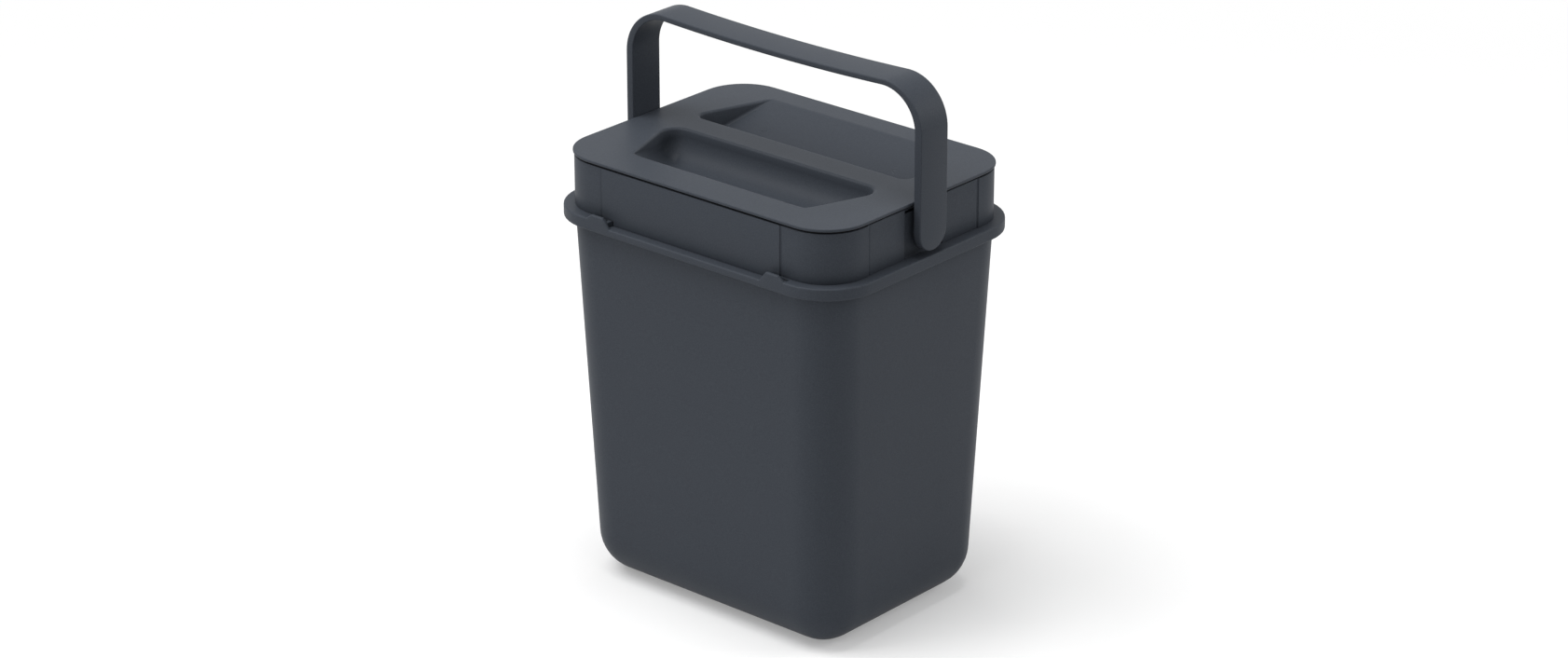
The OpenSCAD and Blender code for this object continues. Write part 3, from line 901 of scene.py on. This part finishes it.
def moulded_plastic(name, colour, pale, grain_mm, roughness, spread, depth):
    """A mould-grained thermoplastic.

    The grain is the fine spark texture of the mould: it breaks the gloss up, and its soft
    peaks are painted in a paler colour, a painted highlight for the light that they catch.
    pale is the colour of that painted highlight. A slow drift of the roughness, by spread to
    either side, is what the melt's flow leaves. depth is the grain's, in millimetres.
    """
    material, tree, shader = new_material(name)
    place = add_node(material, "ShaderNodeTexCoord")
    grain = add_node(material, "ShaderNodeTexNoise", [(place.outputs["Object"], "Vector")],
                     scale=1000 / grain_mm, detail=3.0, roughness=0.6)
    drift = add_node(material, "ShaderNodeTexNoise", [(place.outputs["Object"], "Vector")],
                     scale=1000 / FLOW_MM, detail=2.0)
    # the ramp paints the grain's peaks in the paler colour: a painted highlight for the light that
    # the peaks catch
    painted_peak_highlight = add_node(material, "ShaderNodeValToRGB", [(grain.outputs["Fac"], "Fac")])
    for stop, position, shade in zip(painted_peak_highlight.color_ramp.elements, (PIT, PEAK), (colour, pale)):
        stop.position = position
        stop.color = linear(shade)
    matt = add_node(material, "ShaderNodeMapRange", [(drift.outputs["Fac"], "Value")],
                    To_Min=roughness - spread, To_Max=roughness + spread)
    bump = add_node(material, "ShaderNodeBump", [(grain.outputs["Fac"], "Height")],
                    strength=GRAIN_STRENGTH, distance=depth / 1000)
    tree.links.new(painted_peak_highlight.outputs["Color"], shader.inputs["Base Color"])
    tree.links.new(matt.outputs["Result"], shader.inputs["Roughness"])
    tree.links.new(bump.outputs["Normal"], shader.inputs["Normal"])
    shader.inputs["IOR"].default_value = PLASTIC_IOR
    shader.inputs["Specular IOR Level"].default_value = SPARKED_GLOSS
    return material


def polypropylene(part, roughness):
    """Charcoal polypropylene, moulded: matt, and cool and even all over the caddy.

    The parts that hands and scraps wipe are a touch glossier.
    """
    return moulded_plastic("moulded_polypropylene_" + part, CHARCOAL, CHARCOAL_PEAK_HIGHLIGHT, GRAIN_MM,
                           roughness, 0.04, 0.04)


def drawn_steel(name):
    """Drawn stainless wire: bright, with fine lines along the pin that stretch its gloss."""
    material, tree, shader = new_material(name)
    place = add_node(material, "ShaderNodeTexCoord")
    along = add_node(material, "ShaderNodeMapping", [(place.outputs["Object"], "Vector")])
    along.inputs["Scale"].default_value = (DRAW_STRETCH, 1.0, 1.0)
    lines = add_node(material, "ShaderNodeTexNoise", [(along.outputs["Vector"], "Vector")],
                     scale=1000 / DRAW_LINE_MM, detail=2.0)
    matt = add_node(material, "ShaderNodeMapRange", [(lines.outputs["Fac"], "Value")],
                    To_Min=0.22, To_Max=0.38)
    tree.links.new(matt.outputs["Result"], shader.inputs["Roughness"])
    shader.inputs["Base Color"].default_value = linear("#c4c5c6")
    shader.inputs["Metallic"].default_value = 1.0
    return material


def finish_piece(piece, material):
    """The piece's one material."""
    piece.data.materials.clear()
    piece.data.materials.append(material)


# ---------------------------------------------------------------- the object

bin_piece = build_bin()
frame_piece = build_neck_frame()
lid_piece, lid_parts = build_lid()
seal_piece = build_seal()
strap_piece = build_strap()

bin_pp = polypropylene("bin", 0.5)
frame_pp = polypropylene("frame", 0.5)
lid_pp = polypropylene("lid", 0.48)
strap_pp = polypropylene("handle", 0.48)
# a soft elastomer, near black and dull: black is the rubber's own colour, and its darkness also
# paints the shade in the gap under the lid, so that the seal reads as a dark line there
seal_tpe = moulded_plastic("moulded_elastomer_seal", RUBBER_AND_GAP_SHADE, RUBBER_PEAK_HIGHLIGHT, RUBBER_GRAIN_MM,
                           0.7, 0.05, 0.03)
pin_wire = drawn_steel("drawn_stainless_wire_pin")

for piece, material, slot in (
        (bin_piece, bin_pp, "body_plastic"), (frame_piece, frame_pp, "frame_plastic"),
        (lid_piece, lid_pp, "lid_plastic"), (lid_parts, lid_pp, "lid_plastic"),
        (seal_piece, seal_tpe, "seal_rubber"), (strap_piece, strap_pp, "handle_plastic")):
    finish_piece(piece, material)
for name in ("hinge_pin_left", "hinge_pin_right"):
    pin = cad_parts[name]
    for spot in pin.material_slots:
        spot.link = "OBJECT"
        spot.material = pin_wire

# ---------------------------------------------------------------- floor, light and camera

WORLD_LIGHT = 0.29
FLOOR_GLOW = 0.25
# the caddy's shadow shows on the floor up to the first distance, and is gone at the second
SHADOW_REACH = (0.35, 1.3)
FLOOR_HALF = 8
LAMP_AIM = Vector((0, 0, 0.15))

def white_to_the_eye(owner, shader, white):
    """Lets the camera, gloss and glass see white where a surface or the world ends in shader.

    The light that it gives the caddy stays the shader's.
    """
    ray = add_node(owner, "ShaderNodeLightPath")
    seen = add_node(owner, "ShaderNodeMath",
                    [(ray.outputs["Is Camera Ray"], 0), (ray.outputs["Is Glossy Ray"], 1)],
                    operation="MAXIMUM")
    seen = add_node(owner, "ShaderNodeMath",
                    [(seen.outputs[0], 0), (ray.outputs["Is Transmission Ray"], 1)],
                    operation="MAXIMUM")
    return add_node(owner, "ShaderNodeMixShader",
                    [(seen.outputs[0], 0), (shader.outputs[0], 1), (white.outputs[0], 2)])


def paper_floor():
    """A pale studio floor of matt paper that runs on to the horizon.

    The eye sees bright paper, which keeps the caddy's soft shadow near it and is plain white
    further off.
    """
    mesh = bpy.data.meshes.new("studio_floor")
    half = FLOOR_HALF
    mesh.from_pydata([(-half, -half, 0), (half, -half, 0), (half, half, 0), (-half, half, 0)],
                     [], [(0, 1, 2, 3)])
    floor = link_object("studio_floor", mesh)
    material, tree, shader = new_material("matt_studio_paper")
    shader.inputs["Base Color"].default_value = linear("#e4e4e4")
    shader.inputs["Roughness"].default_value = 0.9
    shader.inputs["Specular IOR Level"].default_value = 0.1
    glow = add_node(material, "ShaderNodeEmission", strength=FLOOR_GLOW)
    lit = add_node(material, "ShaderNodeAddShader",
                   [(shader.outputs[0], 0), (glow.outputs[0], 1)])
    place = add_node(material, "ShaderNodeNewGeometry")
    away = add_node(material, "ShaderNodeVectorMath", [(place.outputs["Position"], 0)],
                    operation="LENGTH")
    far = add_node(material, "ShaderNodeMapRange", [(away.outputs["Value"], "Value")],
                   From_Min=SHADOW_REACH[0], From_Max=SHADOW_REACH[1],
                   interpolation_type="SMOOTHSTEP")
    white = add_node(material, "ShaderNodeEmission", strength=1.0)
    paper = add_node(material, "ShaderNodeMixShader",
                     [(far.outputs["Result"], 0), (lit.outputs[0], 1), (white.outputs[0], 2)])
    mix = white_to_the_eye(material, shader, paper)
    tree.links.new(mix.outputs[0], tree.nodes["Material Output"].inputs["Surface"])
    mesh.materials.append(material)


def look_from(thing, place, aim):
    """Puts a lamp or the camera at a place and turns it to face the aim."""
    thing.location = place
    thing.rotation_euler = (aim - Vector(place)).to_track_quat("-Z", "Y").to_euler()


def soft_box(name, place, size, watts):
    """A square soft lamp, size metres wide, that faces the caddy."""
    light = bpy.data.lights.new(name, "AREA")
    light.shape, light.size, light.size_y, light.energy = "RECTANGLE", size, size, watts
    look_from(link_object(name, light), place, LAMP_AIM)


def studio_world():
    """An even pale surround, white to the camera, to gloss and through glass."""
    world = bpy.data.worlds.new("studio")
    world.use_nodes = True
    bpy.context.scene.world = world
    world.node_tree.nodes.clear()
    lit = add_node(world, "ShaderNodeBackground", color=(1, 1, 1, 1), strength=WORLD_LIGHT)
    seen = add_node(world, "ShaderNodeBackground", color=(1, 1, 1, 1), strength=1.0)
    mix = white_to_the_eye(world, lit, seen)
    add_node(world, "ShaderNodeOutputWorld", [(mix.outputs[0], "Surface")])


paper_floor()
studio_world()
for lamp in (("soft_box_key", (-0.82, -0.82, 2.02), 1.4, 30.5),
             ("soft_box_front", (0.0, -1.99, 1.08), 1.2, 8),
             ("soft_box_rear_right", (1.41, 1.41, 1.08), 1.2, 14.5),
             ("soft_box_top", (0.0, 0.0, 2.35), 0.9, 20)):
    soft_box(*lamp)

# the photograph's view: degrees to the right of the front and above the floor, metres away,
# and the lens in millimetres
AZIMUTH, ELEVATION, DISTANCE, LENS = 41.016, 22.864, 2.700, 103.9
SENSOR, FAR_CLIP = 36.0, 30.0
TARGET = Vector((0.0002, 0.0002, 0.1622))
view = bpy.data.cameras.new("photo_view")
view.sensor_width, view.lens, view.clip_end = SENSOR, LENS, FAR_CLIP
camera = link_object("photo_view", view)
turn, rise = math.radians(AZIMUTH), math.radians(ELEVATION)
look_from(camera, TARGET + DISTANCE * Vector((
    math.sin(turn) * math.cos(rise), -math.cos(turn) * math.cos(rise), math.sin(rise))), TARGET)
bpy.context.scene.camera = camera
bpy.context.scene.view_settings.view_transform = "Standard"
